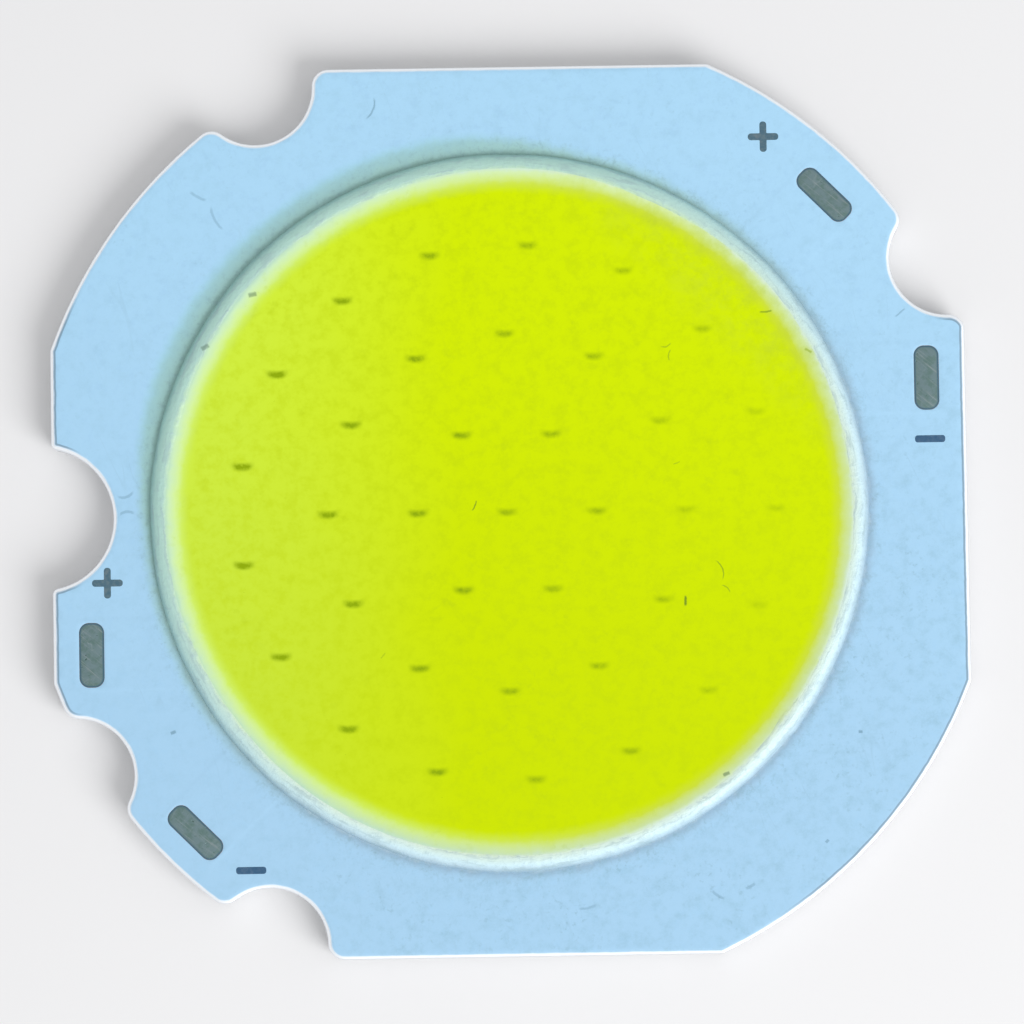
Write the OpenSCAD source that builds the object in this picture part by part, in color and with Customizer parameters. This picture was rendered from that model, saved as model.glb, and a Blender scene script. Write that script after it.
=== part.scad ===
// Chip-on-board LED module: a notched aluminium-core board with a round field of
// blue dies under yellow phosphor silicone, ringed by a white silicone dam.
// The board lies flat, light side up. The origin is the middle of the back face.

/* [Board] */
// Width across the left and right flats
board_w = 44; // [43.4:0.1:44.6]
// Height across the top and bottom flats
board_h = 42.8; // [42.4:0.1:43.2]
// Diameter of the disc that rounds the four corners
board_d = 47; // [46.8:0.1:47.2]
// How far the disc's centre lies right of the middle between the flats
disc_x = 0.1; // [0:0.05:0.15]
// Thickness of the aluminium plate
plate_t = 1.5; // [1:0.1:2]
// Thickness of the insulating layer on the plate
dielectric_t = 0.1; // [0.08:0.01:0.15]
// Thickness of the copper foil
copper_t = 0.035; // [0.035:0.005:0.05]
// Thickness of the white solder mask beside the copper
mask_t = 0.06; // [0.055:0.005:0.08]
// Bare rim left between the board's edge and the solder mask
mask_inset = 0.15; // [0.1:0.01:0.25]

/* [Notches] */
// Radius of the four screw notches
screw_notch_r = 2.75; // [2.6:0.05:2.85]
// Radius that rounds the corners of the screw notches
screw_corner_r = 0.8; // [0.6:0.05:0.9]
// Radius of the wire notch in the middle of the left side
wire_notch_r = 3.4; // [3.3:0.05:3.5]
// Distance of the wire notch's centre from the middle of the board
wire_notch_reach = 22.45; // [22.3:0.05:22.6]
// Radius that rounds the corners of the wire notch
wire_corner_r = 0.3; // [0.25:0.05:0.45]

/* [Solder pads] */
// Length of a solder pad
pad_l = 3.1; // [2.9:0.1:3.3]
// Width of a solder pad
pad_w = 1.2; // [1.1:0.05:1.3]
// Corner radius of a solder pad
pad_corner_r = 0.48; // [0.35:0.01:0.52]
// Thickness of the tin on the copper
tin_t = 0.015; // [0.01:0.005:0.02]

/* [Light field] */
// Radius of the dam at its crest
dam_r = 16.6; // [16.55:0.05:16.7]
// Radius of the dam's round section
dam_bead_r = 0.65; // [0.6:0.01:0.68]
// How far the centre of that section lies under the solder mask's surface
dam_sink = 0.05; // [0.03:0.01:0.08]
// Depth of the silicone fill's flat middle below the dam's crest
gel_drop = 0.16; // [0.12:0.01:0.2]
// Depth of the silicone fill's edge below the dam's crest
gel_edge_drop = 0.05; // [0.04:0.01:0.08]
// Radius at which the silicone fill starts to climb the dam
gel_rise_r = 15.6; // [15.4:0.1:15.8]

/* [Dies and wires] */
// Distance from one ring of dies to the next
ring_pitch = 4.285; // [4.2:0.005:4.3]
// Length of a die
die_l = 1.02; // [0.9:0.02:1.1]
// Width of a die
die_w = 0.56; // [0.45:0.01:0.6]
// Thickness of a die
die_t = 0.15; // [0.12:0.01:0.18]
// Diameter of a bond wire
wire_d = 0.03; // [0.03:0.001:0.04]
// Rise of a bond wire's loop above its two ends
wire_rise = 0.22; // [0.18:0.01:0.24]

/* [Hidden] */
// Heights of the layers above the back face
plate_top = plate_t;
dielectric_top = plate_top + dielectric_t;
copper_top = dielectric_top + copper_t;
mask_top = dielectric_top + mask_t;
die_top = plate_top + die_t;

// Screw notches, seen from the disc's centre: [direction in degrees, distance]
screw_notches = [[29.3, 24.2], [120.5, 23.85], [210.6, 24.45], [240.1, 23.85]];
// The wire notch sits a little below the middle of the left side
wire_notch_y = -0.1;

// Solder pads: [x, y, turn of the long side, direction of the copper tab towards the ring]
pad_plus_top = [15.35, 14.95, -45, 225];
pad_minus_right = [20.1, 6.05, 90, 180];
pad_plus_left = [-20.15, -6.65, 90, 0];
pad_minus_bottom = [-15.3, -15.2, -45, 45];

// The light field sits a little left of and below the board's middle
field_x = -0.05;
field_y = -0.08;
// The pattern of dies sits a little left of the middle of the field
dies_x = -0.11;
dies_y = -0.02;

// Radii of the steps under the silicone fill
die_window_r = 15;
bus_inner_r = 15.2;
bus_outer_r = 16.9;
mask_window_r = 15.8;

// The two half rings of copper: [first angle, last angle]
bus_plus_span = [37, 207];
bus_minus_span = [217.5, 386];

// Dam section and silicone fill
dam_centre_z = mask_top - dam_sink;
dam_crest_z = dam_centre_z + dam_bead_r;
gel_z = dam_crest_z - gel_drop;
gel_edge_z = dam_crest_z - gel_edge_drop;
gel_edge_r = dam_r - sqrt(pow(dam_bead_r, 2) - pow(gel_edge_z - dam_centre_z, 2));
gel_run = gel_edge_r - gel_rise_r;
gel_climb = gel_edge_z - gel_z;
meniscus_r = (pow(gel_run, 2) + pow(gel_climb, 2)) / (2 * gel_climb);

// Dies: how many sit on each ring, from the middle outwards
RING_COUNTS = [1, 6, 12, 17];
// Each string of dies in the order of its wires: [ring, place on the ring]
STRING_A = [
    [3, 5], [3, 4], [2, 3], [2, 4], [1, 2], [0, 0], [1, 0], [1, 1], [2, 2],
    [3, 3], [3, 2], [3, 1], [2, 1], [2, 0], [3, 0], [3, 16], [2, 11], [3, 15]
];
STRING_B = [
    [3, 6], [3, 7], [2, 5], [2, 6], [3, 8], [3, 9], [3, 10], [2, 7], [1, 3],
    [1, 4], [1, 5], [2, 10], [3, 14], [3, 13], [2, 9], [2, 8], [3, 11], [3, 12]
];
DIES = concat(STRING_A, STRING_B);

// Bond wires: where they land on the bus and on a die, and their ball
bus_landing_r = 15.5;
die_pad_reach = 0.32;
ball_r = 0.045;
ball_h = 0.03;
wire_foot = 0.022;

// Overcut that keeps a rounded corner from touching its neighbours at one point only
corner_overcut = 0.004;
// Distance by which cutting tools pass the faces they cut
clearance = 1;
// Number of sides drawn on large and on small round shapes, and on a bond wire
round_fn = 180;
small_fn = 40;
wire_fn = 8;

function two_digits(i) = str(i < 10 ? "0" : "", i);
DIE_NODES = [for (i = [1 : len(DIES)]) str("led_die_", two_digits(i))];

// ---------- Plane geometry ----------

function polar(r, a) = [r * cos(a), r * sin(a)];
function unit(v) = v / norm(v);

// Places are worked out from the disc's centre, and moved with it at the end.
// Turn from a notch to its corner circle on the rim, seen from the disc's centre.
// The circle touches the disc from inside and the notch from outside.
function rim_corner_turn(reach, notch_r, corner_r) =
    let (in = board_d / 2 - corner_r, out = notch_r + corner_r)
    acos((in * in + reach * reach - out * out) / (2 * in * reach));

// Corner circles of a notch: [centre, outward direction of the rim, direction to the notch]
function rim_corner(notch, side) =
    let (
        turn = rim_corner_turn(notch[1], screw_notch_r, screw_corner_r),
        centre = polar(board_d / 2 - screw_corner_r, notch[0] + side * turn)
    )
    [centre, unit(centre), unit(polar(notch[1], notch[0]) - centre)];

// Corner between the top or bottom flat and a notch, on the notch's right
function flat_corner(notch, up) =
    let (
        hub = polar(notch[1], notch[0]),
        y = up * (board_h / 2 - screw_corner_r),
        x = hub[0] + sqrt(pow(screw_notch_r + screw_corner_r, 2) - pow(y - hub[1], 2)),
        centre = [x, y]
    )
    [centre, [0, up], unit(hub - centre)];

// Corner between the left flat and the wire notch, above or below it
function wire_corner(up) =
    let (
        hub = [-wire_notch_reach - disc_x, wire_notch_y],
        x = -board_w / 2 - disc_x + wire_corner_r,
        y = wire_notch_y + up * sqrt(pow(wire_notch_r + wire_corner_r, 2) - pow(x - hub[0], 2)),
        centre = [x, y]
    )
    [centre, [-1, 0], unit(hub - centre)];

SCREW_CORNERS = [
    rim_corner(screw_notches[0], -1),
    rim_corner(screw_notches[0], 1),
    flat_corner(screw_notches[1], 1),
    rim_corner(screw_notches[1], 1),
    rim_corner(screw_notches[2], -1),
    rim_corner(screw_notches[2], 1),
    rim_corner(screw_notches[3], -1),
    flat_corner(screw_notches[3], -1)
];
WIRE_CORNERS = [wire_corner(1), wire_corner(-1)];

// The sharp tip that lies outside a corner circle of radius r
module corner_tip(corner, r) {
    reach = 3 * r;
    translate(corner[0])
        difference() {
            polygon([
                [0, 0], corner[1] * reach, (corner[1] + corner[2]) * reach, corner[2] * reach
            ]);
            circle(r = r + corner_overcut, $fn = small_fn);
        }
}

// The board's outline, set in by the same distance all round
module outline(inset = 0) {
    translate([disc_x, 0])
        difference() {
            intersection() {
                circle(d = board_d - 2 * inset, $fn = round_fn);
                translate([-disc_x, 0])
                    square([board_w - 2 * inset, board_h - 2 * inset], center = true);
            }
            for (notch = screw_notches)
                translate(polar(notch[1], notch[0]))
                    circle(r = screw_notch_r + inset, $fn = small_fn * 2);
            translate([-wire_notch_reach - disc_x, wire_notch_y])
                circle(r = wire_notch_r + inset, $fn = small_fn * 2);
            for (corner = SCREW_CORNERS)
                corner_tip(corner, screw_corner_r - inset);
            for (corner = WIRE_CORNERS)
                corner_tip(corner, wire_corner_r - inset);
        }
}

// A rectangle with round corners, its long side along X
module rounded_bar(l, w, r) {
    square([l - 2 * r, w], center = true);
    square([l, w - 2 * r], center = true);
    for (x = [-1, 1], y = [-1, 1])
        translate([x * (l / 2 - r), y * (w / 2 - r)])
            circle(r = r, $fn = small_fn);
}

module pad_shape(pad) {
    translate([pad[0], pad[1]])
        rotate(pad[2])
            rounded_bar(pad_l, pad_w, pad_corner_r);
}

// Copper under a pad and the straight tab that joins it to its half ring
module pad_tab(pad) {
    edge = 0.15;
    run = norm([pad[0], pad[1]]) - bus_outer_r + pad_w;
    translate([pad[0], pad[1]])
        rotate(pad[3])
            translate([-pad_w / 2 - edge, -pad_l / 2 - edge])
                square([run + edge, pad_l + 2 * edge]);
}

// A slice of the plane between two angles, less than half a turn apart
module slice(span) {
    reach = board_d;
    step = (span[1] - span[0]) / 3;
    polygon(concat([[0, 0]], [for (i = [0 : 3]) polar(reach, span[0] + i * step)]));
}

module in_field() {
    translate([field_x, field_y, 0])
        children();
}

module in_die_pattern() {
    translate([field_x + dies_x, field_y + dies_y, 0])
        children();
}

// Half ring of copper around the dies with the tabs of its two pads
module bus_shape(span, pads) {
    difference() {
        union() {
            translate([field_x, field_y])
                intersection() {
                    circle(r = bus_outer_r, $fn = round_fn);
                    slice(span);
                }
            for (pad = pads)
                pad_tab(pad);
        }
        translate([field_x, field_y])
            circle(r = bus_inner_r, $fn = round_fn);
    }
}

// ---------- Board layers ----------

module base_plate() {
    color([0.78, 0.79, 0.8])
        linear_extrude(plate_t)
            outline();
}

module dielectric_layer() {
    color([0.86, 0.88, 0.84])
        translate([0, 0, plate_top])
            linear_extrude(dielectric_t)
                difference() {
                    outline(mask_inset);
                    translate([field_x, field_y])
                        circle(r = die_window_r, $fn = round_fn);
                }
}

module copper_bus(span, pads) {
    color([0.8, 0.5, 0.3])
        translate([0, 0, dielectric_top])
            linear_extrude(copper_t)
                bus_shape(span, pads);
}

module copper_bus_plus() {
    copper_bus(bus_plus_span, [pad_plus_top, pad_plus_left]);
}

module copper_bus_minus() {
    copper_bus(bus_minus_span, [pad_minus_right, pad_minus_bottom]);
}

// The mask lies over the copper, open at the pads and inside the dam
module solder_mask() {
    color([0.68, 0.86, 0.98])
        difference() {
            translate([0, 0, dielectric_top])
                linear_extrude(mask_t)
                    difference() {
                        outline(mask_inset);
                        translate([field_x, field_y])
                            circle(r = mask_window_r, $fn = round_fn);
                        for (pad = [pad_plus_top, pad_minus_right, pad_plus_left, pad_minus_bottom])
                            pad_shape(pad);
                    }
            copper_bus_plus();
            copper_bus_minus();
        }
}

module solder_pad(pad) {
    color([0.42, 0.52, 0.54])
        translate([0, 0, copper_top])
            linear_extrude(tin_t)
                pad_shape(pad);
}

// ---------- Light field ----------

// Round bead of the dam in section, cut off at the solder mask
module dam_section() {
    intersection() {
        translate([dam_r, dam_centre_z])
            circle(r = dam_bead_r, $fn = small_fn * 2);
        translate([dam_r - 2 * dam_bead_r, mask_top])
            square([4 * dam_bead_r, 2 * dam_bead_r]);
    }
}

module dam_ring() {
    color([0.9, 0.97, 0.98])
        in_field()
            rotate_extrude($fn = round_fn)
                dam_section();
}

// Section of the fill: flat in the middle, climbing the dam at its edge
module fill_section() {
    difference() {
        translate([0, plate_top])
            square([gel_edge_r, gel_edge_z - plate_top]);
        translate([-clearance, gel_z])
            square([clearance + gel_rise_r, clearance]);
        intersection() {
            translate([gel_rise_r, gel_z + meniscus_r])
                circle(r = meniscus_r, $fn = round_fn);
            translate([gel_rise_r, gel_z - clearance])
                square([gel_run + clearance, 2 * clearance]);
        }
        translate([die_window_r, plate_top - clearance])
            square([clearance + gel_edge_r - die_window_r, clearance + dielectric_t]);
        translate([mask_window_r, dielectric_top - clearance])
            square([clearance + gel_edge_r - mask_window_r, clearance + mask_t]);
        translate([dam_r, dam_centre_z])
            circle(r = dam_bead_r, $fn = small_fn * 2);
    }
}

module phosphor_fill() {
    color([0.84, 0.94, 0.1])
        difference() {
            in_field()
                rotate_extrude($fn = round_fn)
                    fill_section();
            copper_bus_plus();
            copper_bus_minus();
            for (i = [0 : len(DIES) - 1])
                led_die(i);
            bond_wires(STRING_A);
            bond_wires(STRING_B);
        }
}

// ---------- Dies and wires ----------

function die_place(spot) =
    polar(spot[0] * ring_pitch, 360 * spot[1] / RING_COUNTS[spot[0]]);

module led_die(i) {
    place = die_place(DIES[i]);
    color([0.55, 0.68, 0.2])
        in_die_pattern()
            translate([place[0] - die_l / 2, place[1] - die_w / 2, plate_top])
                cube([die_l, die_w, die_t]);
}

// One wire loop from a to b: an arc in an upright plane with a ball at each end
module bond_wire(a, b) {
    run = b - a;
    span = norm(run);
    loop_r = (span * span / 4 + wire_rise * wire_rise) / (2 * wire_rise);
    half = asin(span / 2 / loop_r);
    turn = atan2(run[1], run[0]);
    slope = asin(run[2] / span);
    lift = [0, 0, wire_foot];
    translate((a + b) / 2 + lift)
        rotate([0, -slope, turn])
            translate([0, 0, wire_rise - loop_r])
                rotate([90, 0, 0])
                    rotate(90 - half)
                        rotate_extrude(angle = 2 * half, $fn = round_fn)
                            translate([loop_r, 0])
                                circle(d = wire_d, $fn = wire_fn);
    for (end = [a, b])
        translate(end)
            cylinder(r = ball_r, h = ball_h, $fn = wire_fn);
}

// Side of a die, -1 or 1, that faces the given x
function facing(place, x) = x < place[0] ? -1 : 1;

// Point on the bus beside a die
function bus_point(place) =
    let (landing = unit(place) * bus_landing_r)
    [landing[0], landing[1], copper_top];

// Point on a die's left or right bond pad
function die_point(place, side) = [place[0] + side * die_pad_reach, place[1], die_top];

// All the wires of one string, from the plus bus through its dies to the minus bus.
// A wire comes in at the end of a die that faces the die before, and goes on from the other.
module bond_wires(string) {
    last = len(string) - 1;
    places = [for (spot = string) die_place(spot)];
    entries = [
        for (i = [0 : last])
            facing(places[i], i == 0 ? bus_point(places[0])[0] : places[i - 1][0])
    ];
    color([0.85, 0.68, 0.3])
        in_die_pattern() {
            bond_wire(bus_point(places[0]), die_point(places[0], entries[0]));
            for (i = [1 : last])
                bond_wire(
                    die_point(places[i - 1], -entries[i - 1]), die_point(places[i], entries[i])
                );
            bond_wire(die_point(places[last], -entries[last]), bus_point(places[last]));
        }
}

// ---------- Assembly ----------

base_plate();
dielectric_layer();
copper_bus_plus();
copper_bus_minus();
solder_mask();
solder_pad(pad_plus_top);  // solder_pad_plus_top
solder_pad(pad_minus_right);  // solder_pad_minus_right
solder_pad(pad_plus_left);  // solder_pad_plus_left
solder_pad(pad_minus_bottom);  // solder_pad_minus_bottom
dam_ring();
phosphor_fill();
bond_wires(STRING_A);  // bond_wires_a
bond_wires(STRING_B);  // bond_wires_b
for (i = [0 : len(DIES) - 1])
    led_die(i);
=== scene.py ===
import bpy
import numpy as np
from mathutils import Matrix, Vector
from mathutils.geometry import delaunay_2d_cdt


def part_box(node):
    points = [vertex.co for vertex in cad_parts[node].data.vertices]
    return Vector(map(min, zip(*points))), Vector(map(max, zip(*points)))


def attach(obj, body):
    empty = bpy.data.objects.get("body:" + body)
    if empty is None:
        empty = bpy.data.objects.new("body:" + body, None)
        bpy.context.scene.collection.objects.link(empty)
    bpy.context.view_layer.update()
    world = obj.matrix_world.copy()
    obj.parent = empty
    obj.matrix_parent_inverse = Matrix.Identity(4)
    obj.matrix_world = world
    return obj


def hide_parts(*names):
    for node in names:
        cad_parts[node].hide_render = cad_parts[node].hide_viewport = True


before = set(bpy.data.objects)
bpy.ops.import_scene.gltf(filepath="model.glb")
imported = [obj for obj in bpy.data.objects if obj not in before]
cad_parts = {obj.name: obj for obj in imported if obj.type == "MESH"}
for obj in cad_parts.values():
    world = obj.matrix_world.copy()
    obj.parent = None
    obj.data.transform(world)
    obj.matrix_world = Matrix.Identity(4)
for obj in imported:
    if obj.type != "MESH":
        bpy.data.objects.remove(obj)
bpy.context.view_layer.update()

# ---------- Aluminium core plate ----------
# The body of the board is a sheet of aluminium, punched from above to a disc with flats, four
# screw notches and a wire notch. The punch rolls the top edge over, leaves a bright sheared band
# under it and a torn grey band below that, and turns a small burr at the back.
MM = 0.001
PLATE_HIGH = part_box("base_plate")[1]
PLATE_TOP = PLATE_HIGH[2] / MM
ALUMINIUM = (0.84, 0.88, 0.93, 1)
TORN_ALUMINIUM = (0.36, 0.37, 0.38, 1)
PLATE_BACK = (0.50, 0.51, 0.53, 1)


def trace_edge(arcs, spacing):
    """Points and outward normals round a closed row of arcs, in millimetres. A point is the arc's
    centre plus side times radius times direction, as the direction turns from the first angle to
    the last. Where an arc ends short of the next, even points fill the straight line between."""
    runs, facings = [], []
    for x, y, radius, first, last, side in arcs:
        count = 2 + int(max(abs(last - first) * radius / spacing, abs(last - first) / 0.15))
        turn = np.linspace(first, last, count)
        facing = np.stack([np.cos(turn), np.sin(turn)], axis=1)
        runs.append(np.array([x, y]) + side * radius * facing)
        facings.append(facing)
    points, normals = [], []
    for place in range(len(arcs)):
        run, facing = runs[place], facings[place]
        after = runs[(place + 1) % len(arcs)][0]
        gap = np.linalg.norm(after - run[-1])
        if gap < 1e-5:
            points.append(run[:-1])
            normals.append(facing[:-1])
            continue
        along = np.linspace(0, 1, 2 + int(gap / (4 * spacing)))[1:-1, None]
        points += [run, run[-1] + along * (after - run[-1])]
        normals += [facing, np.repeat(facing[-1:], len(along), axis=0)]
    return np.concatenate(points), np.concatenate(normals)


def board_edge():
    """The board's edge as arcs. The rim and the notches are circles, each notch is blended into
    its neighbours by two corner circles that touch both, and where the rim runs into a flat
    a small circle that touches both eases the corner."""
    disc = np.array([0.1, 0.0])
    rim_r, ease_r, screw_r, screw_corner, wire_r, wire_corner = 23.5, 0.3, 2.75, 0.8, 3.4, 0.3
    half = np.array([PLATE_HIGH[0], PLATE_HIGH[1]]) / MM
    places = np.radians([29.3, 120.5, 210.6, 240.1])
    reaches = [24.2, 23.85, 24.45, 23.85]
    hubs = [disc + r * np.array([np.cos(a), np.sin(a)]) for a, r in zip(places, reaches)]
    wire_hub = np.array([-22.45, -0.1])

    def heading(vector):
        return np.arctan2(vector[1], vector[0])

    def rim_corner(number, side):
        inner, outer, reach = rim_r - screw_corner, screw_r + screw_corner, reaches[number]
        turn = np.arccos((inner**2 + reach**2 - outer**2) / (2 * inner * reach))
        facing = places[number] + side * turn
        return disc + inner * np.array([np.cos(facing), np.sin(facing)]), facing

    def flat_corner(number, up):
        hub, y = hubs[number], up * (half[1] - screw_corner)
        x = hub[0] + np.sqrt((screw_r + screw_corner) ** 2 - (y - hub[1]) ** 2)
        return np.array([x, y]), up * np.pi / 2

    def side_corner(up):
        x = -half[0] + wire_corner
        y = wire_hub[1] + up * np.sqrt((wire_r + wire_corner) ** 2 - (x - wire_hub[0]) ** 2)
        return np.array([x, y]), np.pi

    def notch(hub, notch_r, corner_r, before, after):
        (start, facing_in), (end, facing_out) = before, after
        first, last = heading(hub - start), heading(hub - end)
        first = facing_in + (first - facing_in) % (2 * np.pi)
        last = first - (first - last) % (2 * np.pi)
        out = last + (facing_out - last) % (2 * np.pi)
        return [
            (*start, corner_r, facing_in, first, 1),
            (*hub, notch_r, first, last, -1),
            (*end, corner_r, last, out, 1),
        ]

    def screw_notch(number, before, after):
        return notch(hubs[number], screw_r, screw_corner, before, after)

    def eased(flat_facing, side):
        away = np.array([np.cos(flat_facing), np.sin(flat_facing)])
        along = side * np.array([-away[1], away[0]])
        reach = abs(away @ half) - away @ disc - ease_r
        centre = away * reach + along * np.sqrt((rim_r - ease_r) ** 2 - reach**2)
        rim_facing = flat_facing + side * np.arccos(reach / (rim_r - ease_r))
        facings = (flat_facing, rim_facing) if side > 0 else (rim_facing, flat_facing)
        return rim_facing, (*(disc + centre), ease_r, *facings, 1)

    right = screw_notch(0, rim_corner(0, -1), rim_corner(0, 1))
    top = screw_notch(1, flat_corner(1, 1), rim_corner(1, 1))
    wire = notch(wire_hub, wire_r, wire_corner, side_corner(1), side_corner(-1))
    left = screw_notch(2, rim_corner(2, -1), rim_corner(2, 1))
    bottom = screw_notch(3, rim_corner(3, -1), flat_corner(3, -1))

    def rim(first, last):
        return [(*disc, rim_r, first, last, 1)]

    right_low, right_low_arc = eased(0, -1)
    right_high, right_high_arc = eased(0, 1)
    top_right, top_right_arc = eased(np.pi / 2, -1)
    left_high, left_high_arc = eased(np.pi, -1)
    left_low, left_low_arc = eased(np.pi, 1)
    bottom_right, bottom_right_arc = eased(1.5 * np.pi, 1)
    whole_turn = 2 * np.pi
    turns = [arc[3] for arc in (right[0], top[0], left[0], bottom[0])]
    ends = [arc[4] % whole_turn for arc in (right[2], top[2], left[2], bottom[2])]
    return (
        [right_low_arc, right_high_arc] + rim(right_high, turns[0]) + right
        + rim(ends[0], top_right) + [top_right_arc] + top
        + rim(ends[1], left_high) + [left_high_arc] + wire + [left_low_arc]
        + rim(left_low, turns[2]) + left + rim(ends[2], turns[3]) + bottom
        + [bottom_right_arc] + rim(bottom_right, whole_turn + right_low)
    )


def ring_quads(rows):
    """Quads that join each ring of vertex numbers to the next ring, each closed on itself."""
    rows = np.array(rows)
    ahead = np.roll(rows, -1, axis=1)
    return np.stack([rows[:-1], ahead[:-1], ahead[1:], rows[1:]], axis=-1).reshape(-1, 4)


def fan(ring, pole, upwards):
    """Triangles that join a ring of vertex numbers to one vertex at its middle."""
    ahead = np.roll(ring, -1)
    pair = (ring, ahead) if upwards else (ahead, ring)
    return np.stack([np.full(len(ring), pole), *pair], axis=-1)


def lay_piece(name, points, quads, triangles=(), sharp=40):
    """A smooth mesh object from points in millimetres and faces given by vertex numbers, with
    edges kept sharp where two faces meet at more than the given angle."""
    quads = np.asarray(quads, dtype=np.int32).reshape(-1, 4)
    triangles = np.asarray(triangles, dtype=np.int32).reshape(-1, 3)
    starts = np.concatenate(
        [np.arange(len(quads)) * 4, quads.size + np.arange(len(triangles)) * 3])
    mesh = bpy.data.meshes.new(name)
    mesh.vertices.add(len(points))
    mesh.vertices.foreach_set("co", (np.asarray(points) * MM).astype(np.float32).ravel())
    mesh.loops.add(quads.size + triangles.size)
    mesh.loops.foreach_set("vertex_index", np.concatenate([quads.ravel(), triangles.ravel()]))
    mesh.polygons.add(len(starts))
    mesh.polygons.foreach_set("loop_start", starts.astype(np.int32))
    mesh.polygons.foreach_set("use_smooth", np.ones(len(starts), dtype=bool))
    mesh.update(calc_edges=True)
    mesh.validate()
    mesh.set_sharp_from_angle(angle=np.radians(sharp))
    piece = bpy.data.objects.new(name, mesh)
    bpy.context.collection.objects.link(piece)
    return piece


def at_height(flat, height):
    """Flat points lifted to a height, which is one number or one for each point."""
    return np.column_stack([flat, np.broadcast_to(height, len(flat))])


def lay_capped(name, rows, under, crown, sharp=40):
    """A closed piece from rows of points, each row a closed ring. The first row is joined to one
    point under it, and the last row to one point on top."""
    rings = np.arange(len(rows) * len(rows[0])).reshape(len(rows), -1)
    caps = [fan(rings[0], rings.size, False), fan(rings[-1], rings.size + 1, True)]
    points = np.concatenate([*rows, [under, crown]])
    return lay_piece(name, points, ring_quads(rings), np.concatenate(caps), sharp)


def lay_tube(name, rows, sharp=40):
    """A closed piece from rows of points, each row a closed ring, the last joined to the first."""
    rings = np.arange(len(rows) * len(rows[0])).reshape(len(rows), -1)
    return lay_piece(name, np.concatenate(rows), ring_quads([*rings, rings[0]]), sharp=sharp)


def put(tree, kind, inputs=None, **options):
    """A shader node with its options set and its inputs filled: a socket is linked in, and
    a number or colour is set."""
    node = tree.nodes.new("ShaderNode" + kind)
    for option, choice in options.items():
        setattr(node, option, choice)
    for socket, given in (inputs or {}).items():
        if isinstance(given, bpy.types.NodeSocket):
            tree.links.new(given, node.inputs[socket])
        else:
            node.inputs[socket].default_value = given
    return node


def calc(tree, operation, *terms):
    """One step of arithmetic on one to three terms."""
    return put(tree, "Math", dict(enumerate(terms)), operation=operation).outputs[0]


def vector(tree, operation, *terms, result=0):
    """One step of arithmetic on vectors."""
    return put(tree, "VectorMath", dict(enumerate(terms)), operation=operation).outputs[result]


def fade(tree, term, start, end):
    """Rises smoothly from 0 at the start value to 1 at the end value."""
    inputs = {"Value": term, "From Min": start, "From Max": end}
    return put(tree, "MapRange", inputs, interpolation_type="SMOOTHSTEP").outputs[0]


def mixed(tree, mask, under, over, strength=None):
    """The over colour laid on the under colour where the mask is 1, at a strength if given."""
    if strength is not None:
        mask = calc(tree, "MULTIPLY", mask, strength)
    return put(tree, "Mix", {0: mask, 6: under, 7: over}, data_type="RGBA").outputs[2]


def noise(tree, place, scale, detail=3.0, roughness=0.55, distortion=0.0):
    """A soft random value from 0 to 1 at each place."""
    inputs = {"Vector": place, "Scale": scale, "Detail": detail,
              "Roughness": roughness, "Distortion": distortion}
    return put(tree, "TexNoise", inputs).outputs[0]


def new_finish(name):
    """A material, its nodes, its Principled shader and its places in millimetres."""
    material = bpy.data.materials.new(name)
    material.use_nodes = True
    tree = material.node_tree
    corner = put(tree, "TexCoord").outputs["Object"]
    place = put(tree, "VectorMath", {0: corner, "Scale": 1 / MM}, operation="SCALE").outputs[0]
    return material, tree, tree.nodes["Principled BSDF"], place


def new_effect(name, inputs, outputs):
    """A node group with named sockets: each is given as (name, type, starting value)."""
    tree = bpy.data.node_groups.new(name, "ShaderNodeTree")
    for label, kind, start in inputs:
        socket = tree.interface.new_socket(label, in_out="INPUT", socket_type="NodeSocket" + kind)
        if start is not None:
            socket.default_value = start
    for label, kind in outputs:
        tree.interface.new_socket(label, in_out="OUTPUT", socket_type="NodeSocket" + kind)
    return tree, tree.nodes.new("NodeGroupInput").outputs, tree.nodes.new("NodeGroupOutput").inputs


def use(tree, effect, inputs):
    """Places a node group in a material with its own values."""
    return put(tree, "Group", inputs, node_tree=effect).outputs


def coat(tree, shader, colour, gloss, relief=None, depth=0.0, metallic=0.0):
    """Gives a shader its colour, its roughness as a mask, a factor and a start, and its relief
    of the given depth in metres where the mask runs from 0 to 1."""
    tree.links.new(colour, shader.inputs["Base Color"])
    tree.links.new(calc(tree, "MULTIPLY_ADD", *gloss), shader.inputs["Roughness"])
    if relief is not None:
        inputs = {"Height": relief, "Distance": depth, "Strength": 1.0}
        tree.links.new(put(tree, "Bump", inputs).outputs[0], shader.inputs["Normal"])
    shader.inputs["Metallic"].default_value = metallic


# Drawn grain: fine parallel lines that rolling, brushing or wiping leaves on a metal.
drawn_grain, given, result = new_effect(
    "drawn_grain",
    [("Place", "Vector", None), ("Turn", "Float", 0.0), ("Fineness", "Float", 1.0)],
    [("Height", "Float")])
turned = put(drawn_grain, "VectorRotate", {"Vector": given["Place"], "Angle": given["Turn"]},
             rotation_type="Z_AXIS").outputs[0]
drawn = vector(drawn_grain, "MULTIPLY", turned, (0.25, 6.0, 1.0))
lines = noise(drawn_grain, drawn, given["Fineness"], 4.0, 0.65)
drawn_grain.links.new(lines, result["Height"])

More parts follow.
